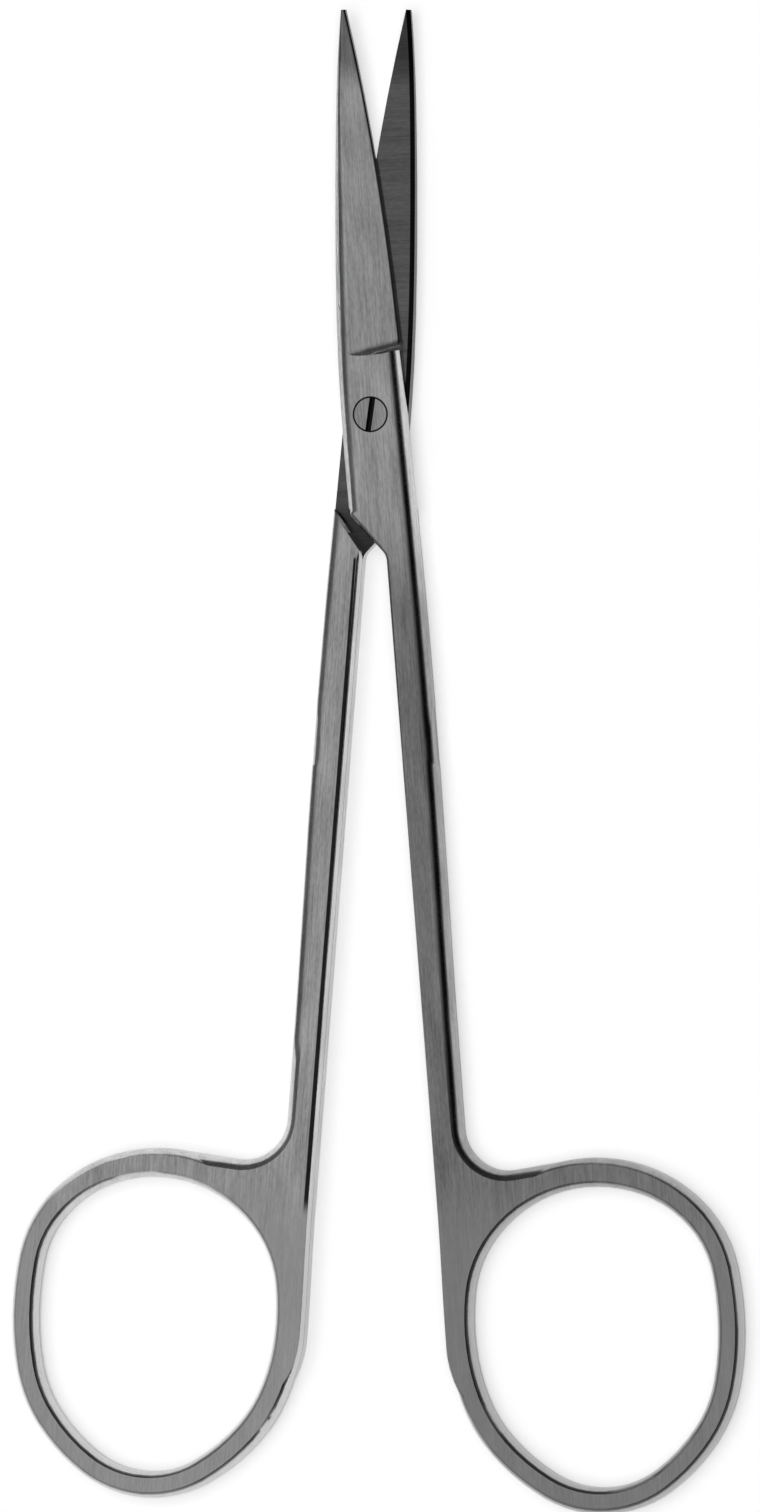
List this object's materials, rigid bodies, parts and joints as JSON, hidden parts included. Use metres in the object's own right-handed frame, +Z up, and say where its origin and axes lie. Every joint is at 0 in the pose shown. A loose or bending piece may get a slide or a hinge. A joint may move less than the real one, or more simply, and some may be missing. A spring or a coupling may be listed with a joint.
{
  "type": "surgical scissors",
  "caption": "Straight fine-pointed surgical scissors with a screw joint and two finger rings, for cutting sutures and delicate tissue.",
  "frame": {"origin": "on the pivot screw's axis, at the underside of the joint, which is the plane the scissors lie on", "axes": "+Z up along the pivot's axis, out of the slotted head; +Y along the closed blades towards the tips; +X to the side of the upper half's finger ring"},
  "size_m": [0.0573, 0.115, 0.0029],
  "materials": {
    "front_half": "satin ground stainless steel",
    "back_half": "satin ground stainless steel",
    "pivot_screw": "turned and polished stainless steel"
  },
  "bodies": {
    "lower": {"back_half": "back_half", "pivot_screw": "pivot_screw"},
    "upper": {"front_half": "front_half"}
  },
  "joints": [
    {"name": "blade_swing", "type": "hinge", "parent": "lower", "child": "upper", "pos_m": [0, 0, 0.00145], "axis": [0, 0, 1], "range_deg": [-8.78, 100]}
  ]
}
